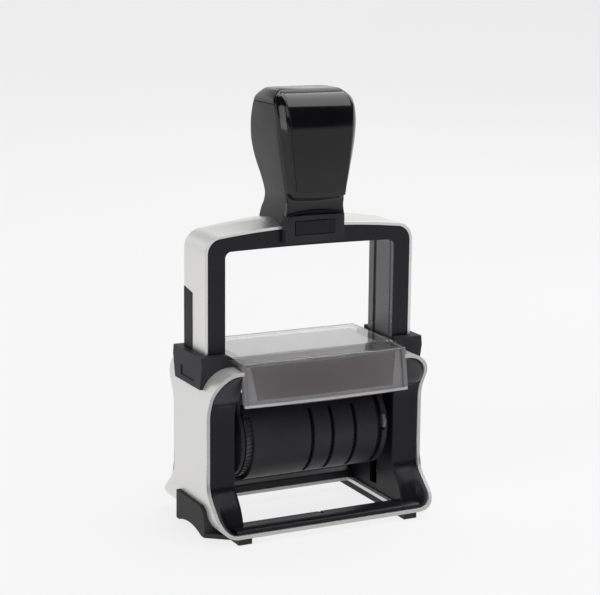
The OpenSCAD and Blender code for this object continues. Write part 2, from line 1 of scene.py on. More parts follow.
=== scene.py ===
"""Looks of the rotary date stamp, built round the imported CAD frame. Its own sizes are in millimetres."""

import math

import bmesh
import bpy
from mathutils import Matrix, Vector


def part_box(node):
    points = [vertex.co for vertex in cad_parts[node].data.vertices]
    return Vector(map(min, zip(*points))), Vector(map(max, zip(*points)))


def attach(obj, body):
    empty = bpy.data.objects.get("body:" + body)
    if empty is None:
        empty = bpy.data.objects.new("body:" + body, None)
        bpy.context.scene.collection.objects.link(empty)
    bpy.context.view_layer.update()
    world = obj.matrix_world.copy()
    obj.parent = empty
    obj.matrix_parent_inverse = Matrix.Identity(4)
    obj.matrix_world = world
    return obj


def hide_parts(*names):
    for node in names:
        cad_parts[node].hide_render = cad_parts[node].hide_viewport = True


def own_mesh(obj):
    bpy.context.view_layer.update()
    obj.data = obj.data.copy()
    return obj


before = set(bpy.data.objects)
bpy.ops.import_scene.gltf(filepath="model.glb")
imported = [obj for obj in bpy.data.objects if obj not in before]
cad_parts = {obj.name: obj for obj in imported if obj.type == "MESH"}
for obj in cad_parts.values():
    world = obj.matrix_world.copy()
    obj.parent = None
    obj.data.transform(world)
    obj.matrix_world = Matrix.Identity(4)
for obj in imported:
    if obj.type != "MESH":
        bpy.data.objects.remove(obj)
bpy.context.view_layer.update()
MM = 0.001
SIDES = ((-1, "left"), (1, "right"))


def span(node):
    """Lowest and highest corner of a CAD node, in millimetres."""
    low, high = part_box(node)
    return low / MM, high / MM


# ---------- driving sizes, in millimetres ----------

BAND_LOW, BAND_HIGH = span("steel_band")
COVER_LOW, COVER_HIGH = span("clear_cover")
SKIN_LOW, SKIN_HIGH = span("bow_skin")
CORE_LOW, CORE_HIGH = span("bow_core")
HOUSING_TOP = span("pad_housing")[1].z
WHEEL_NODES = ("phrase_wheel", "day_wheel", "month_wheel", "year_tens_wheel", "year_units_wheel")
WHEELS = (-24.4, -2.0, 5.5, 14.0, 23.4)      # middle of each wheel's disc

STEEL = 1.2                      # thickness of the steel band
SHOULDER_R = 9.0                 # outer radius of its shoulders
FOOT_R = 6.5                     # outer radius at its feet
WAIST_HALF = 13.8                # half depth at the waist
SHOULDER_HALF = 20.4             # half depth at the top of the shoulders
WAIST_Z = (17.6, 40.0)           # where the waist starts and ends
BAND_END = 29.6                  # where the steel stops beside the cover
WINDOW = (28.0, 16.0)            # half width and half depth of the stamping window
COLUMN_IN = 29.5                 # inner side of the black columns
COLUMN_OUT = 38.75               # outer side of the channels in them
FLOOR_Z = 5.2                    # top of the black bars
LEG_HOLE = 8.85                  # half depth of the hole that a bow leg slides in
OPENING = (31.0, 94.1, 2.2)      # half width, top and corner radius of the hand opening
ARCH_R = 267.0                   # radius of the bow's slightly arched top
OPENING_ARCH_R = 1200.0          # the opening's top is flatter
BOW_CORNER = 6.0                 # outer radius of its corners
SKIN = 1.0                       # thickness of its steel skin


def ease(t):
    """Smooth step from 0 to 1."""
    t = min(1.0, max(0.0, t))
    return t * t * (3 - 2 * t)


def half_depth(z):
    """Half depth of the base at height z: wide feet, narrow waist, wide shoulders."""
    foot = (BAND_HIGH.y - WAIST_HALF) * ease((WAIST_Z[0] - z) / (WAIST_Z[0] - BAND_LOW.z))
    top = (SHOULDER_HALF - WAIST_HALF) * ease((z - WAIST_Z[1]) / (BAND_HIGH.z - WAIST_Z[1]))
    return WAIST_HALF + foot + top


def arc(x, z, r, start, end, count):
    """Points on an arc with its centre at x, z; angles in degrees."""
    angles = [math.radians(start + (end - start) * i / count) for i in range(count + 1)]
    return [(x + r * math.cos(a), z + r * math.sin(a)) for a in angles]


def table(z, rows, column):
    """Smooth value at z from rows of (z, value, value...), by monotone cubic steps."""
    if z <= rows[0][0]:
        return rows[0][column]
    if z >= rows[-1][0]:
        return rows[-1][column]
    k = max(i for i in range(len(rows) - 1) if rows[i][0] <= z)

    def slope(i):
        if i in (0, len(rows) - 1):
            return 0.0
        before = (rows[i][column] - rows[i - 1][column]) / (rows[i][0] - rows[i - 1][0])
        after = (rows[i + 1][column] - rows[i][column]) / (rows[i + 1][0] - rows[i][0])
        return 0.0 if before * after <= 0 else 2 * before * after / (before + after)

    width = rows[k + 1][0] - rows[k][0]
    t = (z - rows[k][0]) / width
    a, b = rows[k][column], rows[k + 1][column]
    return ((1 + 2 * t) * (1 - t) ** 2 * a + t * (1 - t) ** 2 * width * slope(k)
            + t * t * (3 - 2 * t) * b + t * t * (t - 1) * width * slope(k + 1))


# ---------- materials ----------


class Surface:
    """A principled material with procedural colour, roughness and bump."""

    def __init__(self, name, colour, roughness, **sockets):
        self.material = bpy.data.materials.new(name)
        self.material.use_nodes = True
        self.nodes = self.material.node_tree.nodes
        self.links = self.material.node_tree.links
        self.shader = self.nodes["Principled BSDF"]
        self.shader.inputs["Base Color"].default_value = (*colour, 1)
        self.shader.inputs["Roughness"].default_value = roughness
        for socket, value in sockets.items():
            self.shader.inputs[socket.replace("_", " ")].default_value = value
        self.place = self.nodes.new("ShaderNodeTexCoord").outputs["Object"]

    def noise(self, cells, detail=3.0, rough=0.5):
        """Noise with so many cells per metre along X, Y and Z."""
        mapping = self.nodes.new("ShaderNodeMapping")
        mapping.inputs["Scale"].default_value = cells
        self.links.new(self.place, mapping.inputs["Vector"])
        texture = self.nodes.new("ShaderNodeTexNoise")
        texture.inputs["Scale"].default_value = 1.0
        texture.inputs["Detail"].default_value = detail
        texture.inputs["Roughness"].default_value = rough
        self.links.new(mapping.outputs["Vector"], texture.inputs["Vector"])
        return texture.outputs["Fac"]

    def vary(self, socket, source, low, high, start=0.3, end=0.7):
        """Feeds a socket with a value, or a colour, that runs from low to high with the source."""
        ramp = self.nodes.new("ShaderNodeValToRGB")
        ramp.color_ramp.elements[0].position = start
        ramp.color_ramp.elements[1].position = end
        colours = [(*c, 1) if isinstance(c, tuple) else (c, c, c, 1) for c in (low, high)]
        ramp.color_ramp.elements[0].color = colours[0]
        ramp.color_ramp.elements[1].color = colours[1]
        self.links.new(source, ramp.inputs["Fac"])
        self.links.new(ramp.outputs["Color"], self.shader.inputs[socket])
        return self

    def bump(self, sources, strength, distance):
        """Bumps from one or more noises, chained."""
        last = None
        for source in sources:
            node = self.nodes.new("ShaderNodeBump")
            node.inputs["Strength"].default_value = strength
            node.inputs["Distance"].default_value = distance
            self.links.new(source, node.inputs["Height"])
            if last:
                self.links.new(last, node.inputs["Normal"])
            last = node.outputs["Normal"]
        self.links.new(last, self.shader.inputs["Normal"])
        return self


def cut_steel(name):
    """Cut edge of the sheet: duller than its faces, with fine scratches across it."""
    s = Surface(name, (0.6, 0.6, 0.6), 0.6, Metallic=0.2)
    scratches = s.noise((900, 900, 5200), 3.0)
    s.vary("Base Color", scratches, (0.47, 0.47, 0.465), (0.56, 0.56, 0.55))
    s.vary("Roughness", s.noise((2400, 2400, 2400), 3.0), 0.55, 0.68)
    return s.bump([scratches], 0.15, 0.00002).material


def brushed_steel(name, metallic, wave):
    """Fine brushed lines over a slight waviness of the sheet."""
    s = Surface(name, (0.72, 0.715, 0.70), 0.3, Metallic=metallic)
    lines = s.noise((12, 4600, 12), 4.0, 0.5)
    s.vary("Base Color", lines, (0.725, 0.72, 0.71), (0.765, 0.76, 0.75))
    s.vary("Roughness", s.noise((24, 1800, 24), 5.0, 0.6), 0.3, 0.38)
    return s.bump([s.noise((6, 420, 6), 2.0), lines], wave, 0.00003).material


def moulded(name, level, roughness, specular, grain=9000, depth=0.000012, blue=1.1, spread=1.4):
    """Moulded dark plastic: fine spark-eroded grain, faint flow marks and uneven gloss."""
    dark = (level, level, level * blue)
    light = tuple(v * spread for v in dark)
    s = Surface(name, dark, roughness, Specular_IOR_Level=specular)
    fine = s.noise((grain, grain, grain), 2.0)
    flow = s.noise((70, 70, 110), 3.0)
    s.vary("Base Color", flow, dark, light)
    s.vary("Roughness", flow, roughness - 0.05, roughness + 0.06)
    return s.bump([fine], 0.22, depth).material


def polished_black():
    s = Surface("polished_black", (0.003, 0.003, 0.004), 0.07, Specular_IOR_Level=0.42)
    smears = s.noise((90, 90, 40), 3.0)
    s.vary("Roughness", smears, 0.09, 0.14)
    s.vary("Base Color", smears, (0.0025, 0.0025, 0.0035), (0.004, 0.004, 0.005))
    return s.bump([s.noise((60, 60, 60), 1.0)], 0.02, 0.00001).material


def clear_plastic():
    s = Surface("clear_plastic", (0.86, 0.85, 0.86), 0.05, Transmission_Weight=0.95, IOR=1.42)
    haze = s.noise((120, 120, 120), 3.0)
    s.vary("Roughness", haze, 0.03, 0.07)
    s.vary("Base Color", haze, (0.84, 0.83, 0.84), (0.9, 0.89, 0.9))
    return s.bump([haze], 0.01, 0.00003).material


def frost_and_edge_light_plastic(name, level, spread):
    """Pale plastic: the etched border inside the cover, and the strips on the cover's clear edges that paint
    in the light those edges catch.
    """
    s = Surface(name, (level, level, level), 0.45)
    etch = s.noise((4200, 4200, 4200), 3.0)
    dark, light = level, level * spread
    s.vary("Base Color", s.noise((60, 60, 60), 2.0), (dark, dark * 0.98, dark), (light, light * 0.98, light))
    s.vary("Roughness", etch, 0.38, 0.55)
    return s.bump([etch], 0.2, 0.00002).material


def paper(name, dark, light):
    s = Surface(name, dark, 0.6)
    fibres = s.noise((2500, 2500, 2500), 5.0)
    s.vary("Base Color", fibres, dark, light)
    s.vary("Roughness", fibres, 0.5, 0.7)
    return s.bump([fibres], 0.15, 0.00002).material


def rubber(name, dark, light):
    s = Surface(name, dark, 0.7)
    grain = s.noise((5200, 5200, 5200), 3.0)
    s.vary("Base Color", s.noise((140, 140, 140), 3.0), dark, light)
    s.vary("Roughness", grain, 0.6, 0.82)
    return s.bump([grain], 0.35, 0.00004).material


def drawn_steel():
    s = Surface("drawn_steel", (0.62, 0.62, 0.61), 0.2, Metallic=1.0)
    s.vary("Roughness", s.noise((3000, 400, 400), 3.0), 0.14, 0.3)
    s.vary("Base Color", s.noise((200, 200, 200), 2.0), (0.58, 0.58, 0.57), (0.66, 0.66, 0.65))
    return s.bump([s.noise((4000, 600, 600), 2.0)], 0.1, 0.00001).material


def felt():
    s = Surface("inked_felt", (0.03, 0.022, 0.09), 0.9, Sheen_Weight=0.3)
    wool = s.noise((3500, 3500, 3500), 6.0, 0.7)
    s.vary("Base Color", wool, (0.018, 0.014, 0.06), (0.05, 0.04, 0.13))
    s.vary("Roughness", wool, 0.8, 0.98)
    return s.bump([wool], 0.8, 0.0002).material


STEEL_MAT = brushed_steel("brushed_steel", 0.55, 0.1)
STEEL_EDGE = cut_steel("steel_cut_edge")
BOW_STEEL = brushed_steel("bow_steel", 0.9, 0.35)
BLACK = moulded("body_black", 0.004, 0.34, 0.3, blue=1.6)
BASE_BLACK = moulded("base_black", 0.006, 0.36, 0.2, blue=1.4)
PILLOW = moulded("pillow_black", 0.018, 0.4, 0.4, blue=1.2)
# lighter, glossier copy of body_black for the inner faces of the bow's legs: the lighter colour is painted
# light
PAINTED_LIGHT_INNER = moulded("body_black_painted_light_inner", 0.026, 0.28, 0.9)
INLAY = moulded("inlay_black", 0.018, 0.5, 0.12)
COLLAR = moulded("collar_black", 0.024, 0.5, 0.12, blue=1.15)
UNIT = moulded("unit_black", 0.022, 0.46, 0.12, 7000, blue=1.12)
DISC = moulded("wheel_disc_black", 0.020, 0.34, 0.6, 7000)
WHEEL = moulded("wheel_black", 0.005, 0.5, 0.1, 7000)
BUTTON = moulded("button_black", 0.008, 0.36, 0.2)
SATIN = moulded("grip_satin", 0.019, 0.44, 0.3, 12000, 0.000016, 1.06)
GLOSS = polished_black()
CLEAR = clear_plastic()
FROST = frost_and_edge_light_plastic("frosted_border", 0.36, 1.2)
# painted light: pale strips that stand for the light caught in the cover's clear edges, darker on the sides
# than at the foot
PAINTED_EDGE_LIGHT_SIDE = frost_and_edge_light_plastic("painted_edge_light_side", 0.15, 1.25)
PAINTED_EDGE_LIGHT_FOOT = frost_and_edge_light_plastic("painted_edge_light_foot", 0.40, 1.25)
CARD = paper("label_card", (0.76, 0.755, 0.75), (0.82, 0.815, 0.81))
TINTED = paper("label_front", (0.115, 0.093, 0.102), (0.135, 0.11, 0.12))
SOLE = rubber("sole_rubber", (0.009, 0.009, 0.009), (0.015, 0.015, 0.015))
TYPE = rubber("type_rubber", (0.20, 0.045, 0.04), (0.27, 0.07, 0.06))
TAPE = rubber("type_tape", (0.008, 0.008, 0.008), (0.013, 0.013, 0.013))
WIRE = drawn_steel()
FELT = felt()
ACETAL = moulded("cam_acetal", 0.10, 0.35, 0.4, blue=0.9)


# ---------- mesh tools ----------


def closed_mesh(name, points, faces, merge=0.0):
    """Mesh in metres from points in millimetres, with its normals outwards."""
    mesh = bpy.data.meshes.new(name)
    mesh.from_pydata([Vector(p) * MM for p in points], [], faces)
    bm = bmesh.new()
    bm.from_mesh(mesh)
    if merge:
        bmesh.ops.remove_doubles(bm, verts=bm.verts, dist=merge)
    bmesh.ops.recalc_face_normals(bm, faces=bm.faces)
    bm.to_mesh(mesh)
    bm.free()
    return mesh


def place_object(name, data):
    placed = bpy.data.objects.new(name, data)
    bpy.context.scene.collection.objects.link(placed)
    return placed


def add_mesh(name, points, faces, body, slot, material, replaces=(), edge=0.0, angle=35, segments=3):
    """Makes a piece from points in millimetres; edge is the radius of its rounded edges."""
    mesh = closed_mesh(name, points, faces, 1e-7)
    smooth(mesh)
    mesh.materials.append(material)
    piece = place_object(name, mesh)
    if edge:
        round_edges(piece, edge, angle, segments)
    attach(piece, body)
    if replaces:
        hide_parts(*replaces)
    return piece


def smooth(mesh):
    mesh.polygons.foreach_set("use_smooth", [True] * len(mesh.polygons))


def second_material(piece, material, chosen):
    """Gives a second material to the faces for which chosen says so."""
    piece.data.materials.append(material)
    for face in piece.data.polygons:
        if chosen(face):
            face.material_index = 1


def round_edges(piece, radius, angle=35, segments=3):
    """Rounds the edges sharper than the angle; the radius is in millimetres."""
    bevel = piece.modifiers.new("rounded_edges", "BEVEL")
    bevel.width = radius * MM
    bevel.segments = segments
    bevel.limit_method = "ANGLE"
    bevel.angle_limit = math.radians(angle)
    bevel.harden_normals = True


def slab(front, back):
    """Closed solid between two grids of points with the same rows and columns."""
    rows, columns = len(front), len(front[0])
    points = [p for row in front for p in row] + [p for row in back for p in row]
    count = rows * columns
    faces = []
    for i in range(rows - 1):
        for j in range(columns - 1):
            a = i * columns + j
            quad = (a, a + 1, a + columns + 1, a + columns)
            faces.append(quad)
            faces.append(tuple(count + k for k in reversed(quad)))
    rim = list(range(columns))
    rim += [i * columns + columns - 1 for i in range(1, rows)]
    rim += [(rows - 1) * columns + j for j in range(columns - 2, -1, -1)]
    rim += [i * columns for i in range(rows - 2, 0, -1)]
    for a, b in zip(rim, rim[1:] + rim[:1]):
        faces.append((b, a, count + a, count + b))
    return points, faces


def cut_sheet(outer, inner, gone):
    """Closed solid between two grids, without the cells (i, j) for which gone says so."""
    rows, columns = len(outer), len(outer[0])
    points = [p for row in outer for p in row] + [p for row in inner for p in row]
    count = rows * columns
    faces, edges = [], {}
    for i in range(rows - 1):
        for j in range(columns - 1):
            if gone(i, j):
                continue
            a = i * columns + j
            quad = (a, a + 1, a + columns + 1, a + columns)
            faces.append(quad)
            faces.append(tuple(count + k for k in reversed(quad)))
            for k, m in zip(quad, quad[1:] + quad[:1]):
                edges[(k, m)] = True
    for k, m in edges:
        if (m, k) not in edges:
            faces.append((m, k, count + k, count + m))
    return points, faces


def loft(rings):
    """Closed solid through a stack of rings with the same number of points."""
    size = len(rings[0])
    points = [p for ring in rings for p in ring]
    faces = []
    for i in range(len(rings) - 1):
        for j in range(size):
            k = (j + 1) % size
            faces.append((i * size + j, i * size + k, (i + 1) * size + k, (i + 1) * size + j))
    faces.append(tuple(reversed(range(size))))
    faces.append(tuple(range((len(rings) - 1) * size, len(rings) * size)))
    return points, faces


def steps(low, high, count):
    """Evenly spaced values from low to high, both included."""
    return [low + (high - low) * i / count for i in range(count + 1)]


def cad_node(name, material, edge=0.0, angle=35, segments=2):
    """Shows a CAD node as it is, with a material and softly rounded edges."""
    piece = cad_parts[name]
    mesh = piece.data
    mesh.materials.clear()
    mesh.materials.append(material)
    if edge:
        weld = piece.modifiers.new("weld", "WELD")
        weld.merge_threshold = 0.002 * MM
        smooth(mesh)
        custom = mesh.attributes.get("custom_normal")
        if custom:
            mesh.attributes.remove(custom)
        round_edges(piece, edge, angle, segments)


# ---------- base ----------


def sheet_path(stations, t):
    """Points of a path of (x, z, normal x, normal z), moved inwards by t."""
    return [(x - nx * t, z - nz * t) for x, z, nx, nz in stations]


def bend(x, z, r, start, end, count):
    """Stations round an outside bend, with their normals; angles in degrees."""
    return [(x + r * math.cos(a), z + r * math.sin(a), math.cos(a), math.sin(a))
            for a in [math.radians(start + (end - start) * i / count) for i in range(count + 1)]]


def steel_band():
    """One bent sheet: over the shoulders, down the sides, round the feet and under the base."""
    side_x, top_z, low_z = BAND_HIGH.x, BAND_HIGH.z, BAND_LOW.z
    shoulder = (side_x - SHOULDER_R, top_z - SHOULDER_R)
    hole_angle = math.degrees(math.acos((COLUMN_OUT - shoulder[0]) / SHOULDER_R))
    half = [(BAND_END, top_z, 0, 1)]
    half += bend(*shoulder, SHOULDER_R, 90, hole_angle, 12)
    half += bend(*shoulder, SHOULDER_R, hole_angle, 0, 8)[1:]
    drop = steps(shoulder[1], WAIST_Z[1], 6) + steps(WAIST_Z[1], WAIST_Z[0], 4)[1:]
    drop += steps(WAIST_Z[0], low_z + FOOT_R, 10)[1:]
    half += [(side_x, z, 1, 0) for z in drop[1:]]
    half += bend(side_x - FOOT_R, low_z + FOOT_R, FOOT_R, 0, -90, 14)[1:]
    half += [(WINDOW[0], low_z, 0, -1)]
    stations = half + [(-x, z, -nx, nz) for x, z, nx, nz in reversed(half)]
    across = (-1, -0.75, -0.5, -0.25, 0, 0.25, 0.5, 0.75, 1)

    def grid(t):
        rows = []
        for (x, z), (_, level, _, _) in zip(sheet_path(stations, t), stations):
            inner = LEG_HOLE + (WINDOW[1] - LEG_HOLE) * ease((42 - level) / 36)      # edge of the holes
            outer = half_depth(level)
            depths = [abs(v) * 2 * inner if abs(v) <= 0.5 else inner + (abs(v) * 2 - 1) * (outer - inner)
                      for v in across]
            rows.append([(x, math.copysign(d, v), z) for d, v in zip(depths, across)])
        return rows

    def gone(i, j):
        middle = abs(across[j] + across[j + 1]) < 1
        x = abs(stations[i][0] + stations[i + 1][0]) / 2
        z = (stations[i][1] + stations[i + 1][1]) / 2
        window = z < low_z + 0.01 and x < WINDOW[0]
        leg = z > 47 and x < COLUMN_OUT
        return middle and (window or leg)

    piece = add_mesh("band_sheet", *cut_sheet(grid(0), grid(STEEL), gone), "base", "brushed_steel",
                     STEEL_MAT, ("steel_band",), 0.2, 50)
    second_material(piece, STEEL_EDGE, lambda face: abs(face.normal.y) > 0.3)


def column_outer(z, inset):
    """Outer x of a column at height z: it follows the inside of the steel band."""
    side_x = BAND_HIGH.x - STEEL - inset
    top = BAND_HIGH.z - SHOULDER_R
    low = BAND_LOW.z + FOOT_R
    if z > top:
        r = SHOULDER_R - STEEL - inset
        return side_x - r + math.sqrt(max(0.0, r * r - (z - top) ** 2))
    if z < low:
        r = FOOT_R - STEEL - inset
        return side_x - r + math.sqrt(max(0.0, r * r - (low - z) ** 2))
    return side_x


# height and front of the columns' recessed faces, which stop short of the steel's flared edge
COLUMN_FACE = ((3.6, 20.3), (6, 19.8), (8.5, 18.8), (10.5, 17.7), (13.5, 15.3), (15.6, 13.6), (17.2, 13.15),
               (40, 13.15), (43.5, 14.2), (47, 15.5), (55, 18))


def columns():
    """Two hollow black columns; a raised rim runs beside the steel's edge."""
    heights = steps(3.7, 17.2, 24) + steps(17.2, 40, 4)[1:] + steps(40, 55.2, 18)[1:]
    profile = (0, 0.04, 0.3, 0.55, 0.68, 0.76, 0.84, 0.92, 1)      # across the face, from inside to outside
    rim_start, rim_width, corner = 0.68, 0.2, 0.35
    for s, side in SIDES:
        rings = []
        for z in heights:
            near = max(COLUMN_IN + 1.5, column_outer(z, 0.05))
            rim = half_depth(z) - 0.4
            face = min(rim, table(z, COLUMN_FACE, 1))
            front = []
            for u in profile:
                d = face + (rim - face) * ease((u - rim_start) / rim_width)
                if u == 0:
                    d -= corner
                front.append((s * (COLUMN_IN + (near - COLUMN_IN) * u), d))
            rings.append([(x, -d, z) for x, d in front] + [(x, d, z) for x, d in reversed(front)])
        piece = add_mesh(f"column_{side}", *loft(rings), "base", "body_black", BASE_BLACK, ("base_body",))
        channel = ((COLUMN_IN + 1.2, -LEG_HOLE, FLOOR_Z), (COLUMN_OUT - 0.06, LEG_HOLE, 60))
        slot = ((COLUMN_IN - 1, -2.4, 6.2), (COLUMN_IN + 2, 2.4, 45))
        for low, high in (channel, slot):
            cut_box(piece, low, high, s)
        round_edges(piece, 0.4, 40, 3)


def cut_box(piece, low, high, s):
    """Cuts a box from a piece, mirrored to the left when s is -1."""
    x0, x1 = sorted((s * low[0], s * high[0]))
    corners = [(x, y, z) for x in (x0, x1) for y in (low[1], high[1]) for z in (low[2], high[2])]
    faces = [(0, 1, 3, 2), (4, 6, 7, 5), (0, 4, 5, 1), (2, 3, 7, 6), (0, 2, 6, 4), (1, 5, 7, 3)]
    cut(piece, corners, faces)


def cut(piece, points, faces):
    """Subtracts a closed mesh from a piece and keeps the result."""
    cutter = place_object("cutter", closed_mesh("cutter", points, faces))
    boolean = piece.modifiers.new("cut", "BOOLEAN")
    boolean.operation = "DIFFERENCE"
    boolean.solver = "EXACT"
    boolean.object = cutter
    bpy.context.view_layer.update()
    graph = bpy.context.evaluated_depsgraph_get()
    result = bpy.data.meshes.new_from_object(piece.evaluated_get(graph))
    piece.modifiers.remove(boolean)
    piece.data = result
    bpy.data.objects.remove(cutter)


def bars():
    """Front and back bars: a notch and two ticks in front, a rear ledge on the back one."""
    low_z, ledge_z = 3.65, 9.8
    reach = COLUMN_IN + 4.6
    edge = half_depth(3.7) - 0.45
    inner = WINDOW[1]
    front = [(inner, low_z), (inner, 4.5), (inner + 0.4, 4.8), (20, 4.9), (edge - 0.7, FLOOR_Z),
             (edge, FLOOR_Z - 0.5), (edge, low_z)]
    rear = half_depth(10) - 0.5
    back = [(inner, low_z), (inner, 6.0), (inner + 0.4, 6.4), (21.2, 8.1), (21.6, ledge_z), (rear, ledge_z),
            (half_depth(7) - 0.5, 7), (edge, low_z)]
    for s, name, profile in ((-1, "bar_front", front), (1, "bar_back", back)):
        rings = [[(x, s * y, z) for y, z in profile] for x in (-reach, reach)]
        piece = add_mesh(name, *loft(rings), "base", "body_black", BASE_BLACK, ("base_body",))
        if s < 0:
            cut_box(piece, (-0.5, -inner - 3, 4.5), (0.5, -inner + 0.2, 7), 1)
            for x in (-WINDOW[0] + 0.3, WINDOW[0] - 0.3):
                cut_box(piece, (x - 0.2, -edge - 0.25, 3), (x + 0.2, -edge + 0.25, 8), 1)
        round_edges(piece, 0.15, 40, 2)


# height and front of the shoulder cushions, which hang over the recessed columns
CUSHION = ((44.0, 16.3), (47, 17.5), (50, 18.5), (55.2, 20.15))
CUSHION_Z = (44.0, 55.15)        # their lower and upper ends
CUSHION_IN = 29.75               # their inner side
CUSHION_DEEP = 5.5               # how far they reach into the base


def cushion_outer(z):
    """Outer x of a cushion at height z, with a rounded lower corner."""
    corner = 2.6
    below = CUSHION_Z[0] + corner - z
    if below <= 0:
        return column_outer(z, 0.12)
    return column_outer(z, 0.12) - (corner - math.sqrt(max(0.0, corner ** 2 - below ** 2))) * 0.6


def cushion_roll(u, v):
    """How far a cushion's face falls back at u across and v up, at its foot and sides and by its crown."""
    foot = 1.7 * (1 - ease(v / 0.2))
    sides = 0.5 * (1 - ease((1 - u) / 0.2)) + 0.3 * (1 - ease(u / 0.2))
    return foot + sides + 0.35 * (2 * u - 1) ** 2


def shoulder_pads():
    """Black cushions that fill the shoulders beside the cover; their lower edge rolls under."""
    across = [math.sin(math.radians(a)) / 2 + 0.5 for a in range(-90, 91, 12)]
    for s, side in SIDES:
        for t, face in ((-1, "front"), (1, "back")):
            outer, inner = [], []
            for v in across:
                z = CUSHION_Z[0] + (CUSHION_Z[1] - CUSHION_Z[0]) * v
                xs = [s * (CUSHION_IN + (cushion_outer(z) - CUSHION_IN) * u) for u in across]
                ys = [t * (table(z, CUSHION, 1) - cushion_roll(u, v)) for u in across]
                outer.append([(x, y, z) for x, y in zip(xs, ys)])
                inner.append([(x, t * (half_depth(z) - CUSHION_DEEP), z) for x in xs])
            add_mesh(f"shoulder_{face}_{side}", *slab(outer, inner), "base", "body_black", PILLOW,
                     ("base_body",), 0.2, 60)


COVER_WALL = 1.5                 # thickness of the clear cover
COVER_HALF = 30.1                # half width of the cover
CROWN_HALF = 29.2                # half width over which its front is crowned
COVER_FRONT = (19.55, 21.75)     # front of the cover at its upper edge and at its bottom
COVER_EDGE_Z = 58.7              # height of its upper front edge
COVER_FLAT = 11.0                # where the level top starts to slope to the front
COVER_BACK_R = 1.8               # radius of its upper back edge
COVER_SIDE_Z = 55.6              # lower edge of its sides and back


def cover_front(x, z, t=0.0):
    """Front y of the cover at height z, t inside its outer skin: it leans back and bows out at its foot."""
    k = (z - COVER_LOW.z) / (COVER_EDGE_Z - COVER_LOW.z)
    crown = (0.9 - 0.6 * k) * (1 - (x / CROWN_HALF) ** 2)
    return -(COVER_FRONT[1] + (COVER_FRONT[0] - COVER_FRONT[1]) * k + crown - t)


def cover_section(u, t):
    """Points (y, z) of the cover at u across: up its front, over the top and down its back."""
    low_z, top_z, back = COVER_LOW.z, COVER_HIGH.z, COVER_HIGH.y
    x = u * CROWN_HALF
    points = []
    for k in (0, 0.04, 0.25, 0.5, 0.75, 0.96):
        z = low_z + (COVER_EDGE_Z - low_z) * k
        sag = 0.3 * (1 - u * u) if k == 0 else 0
        points.append((cover_front(x, z, t), z - sag))
    edge_y, edge_r = cover_front(x, COVER_EDGE_Z, t), 0.5
    for a in (20, 50, 80):
        c, v = math.cos(math.radians(a)), math.sin(math.radians(a))
        points.append((edge_y + edge_r * (1 - c), COVER_EDGE_Z - 0.4 + edge_r * v - t * 0.9))
    slope_z = COVER_EDGE_Z + 0.15
    for k in (0.1, 0.3, 0.5, 0.7, 0.85, 0.95, 1):
        rise = k if k < 0.8 else 0.8 + 0.2 * math.sin((k - 0.8) * 5 * math.pi / 2)
        z = slope_z + (top_z - slope_z) * rise
        points.append(((edge_y + edge_r) * (1 - k) - COVER_FLAT * k, z - t))
    points += [(y, top_z - t) for y in (-6, 0, 6, 12, back - COVER_BACK_R)]
    for a in (60, 30, 0):
        c, v = math.cos(math.radians(a)), math.sin(math.radians(a))
        r = COVER_BACK_R - t
        points.append((back - COVER_BACK_R + r * c, top_z - COVER_BACK_R + r * v))
    return points + [(back - t, COVER_SIDE_Z)]


def cover_skin(t):
    """Grid over the cover, t inside its outer skin: rows run across it."""
    across = [k / 12 for k in range(-12, 13)]
    half = COVER_HALF - t * 0.1
    columns = [[(u * half, y, z) for y, z in cover_section(u, t)] for u in across]
    return [list(row) for row in zip(*columns)]


def clear_cover():
    """Clear snap-on cover: a sloping front, a level top with a soft front edge, short sides and back."""
    add_mesh("cover_shell", *slab(cover_skin(0), cover_skin(COVER_WALL)), "base", "clear_cover", CLEAR,
             ("clear_cover",), 0.2, 40)
    ys = steps(-17.8, COVER_HIGH.y - COVER_WALL - 0.1, 8)
    zs = steps(COVER_SIDE_Z, COVER_HIGH.z - COVER_WALL - 0.05, 2)
    for s, side in SIDES:
        grids = [[[(s * (COVER_HALF - t), y, z) for y in ys] for z in zs] for t in (0.05, COVER_WALL - 0.05)]
        add_mesh(f"cover_side_{side}", *slab(*grids), "base", "clear_cover", CLEAR, (), 0.1, 40)


def cover_rim():
    """Pale strips along the foot of the cover's front and down both sides: painted light for the light
    caught in its clear edges, darker at the sides than at the foot.
    """
    low, high = COVER_LOW.z + 0.02, COVER_EDGE_Z - 0.5
    foot = [[[(u / 8 * (COVER_HALF - 0.05), cover_front(u / 8 * CROWN_HALF, z, t), z) for u in range(-8, 9)]
             for z in (low, low + 0.4, low + 0.85)] for t in (-0.06, 0.35)]
    add_mesh("cover_rim_foot", *slab(*foot), "base", "clear_cover", PAINTED_EDGE_LIGHT_FOOT, (), 0.08, 40)
    for s, side in SIDES:
        strip = [[[(s * x, cover_front(s * x * 0.97, z, t), z) for x in (28.6, 29.4, 30.12)]
                  for z in steps(low + 0.9, high, 6)] for t in (-0.06, COVER_WALL)]
        add_mesh(f"cover_rim_{side}", *slab(*strip), "base", "clear_cover", PAINTED_EDGE_LIGHT_SIDE, (), 0.08, 40)


LABEL_TOP = (25.4, -7.4, 16.8)   # half width, front and back of the label's top sheet
FLAP_Z = (46.7, 57.4)            # foot and fold of its front flap
PAPER = 0.3
BEHIND_FRONT = COVER_WALL + 0.12


def flap_half(z):
    """Half width of the front flap: narrower towards its foot."""
    return 24.8 + 1.9 * (z - 46.4) / 11


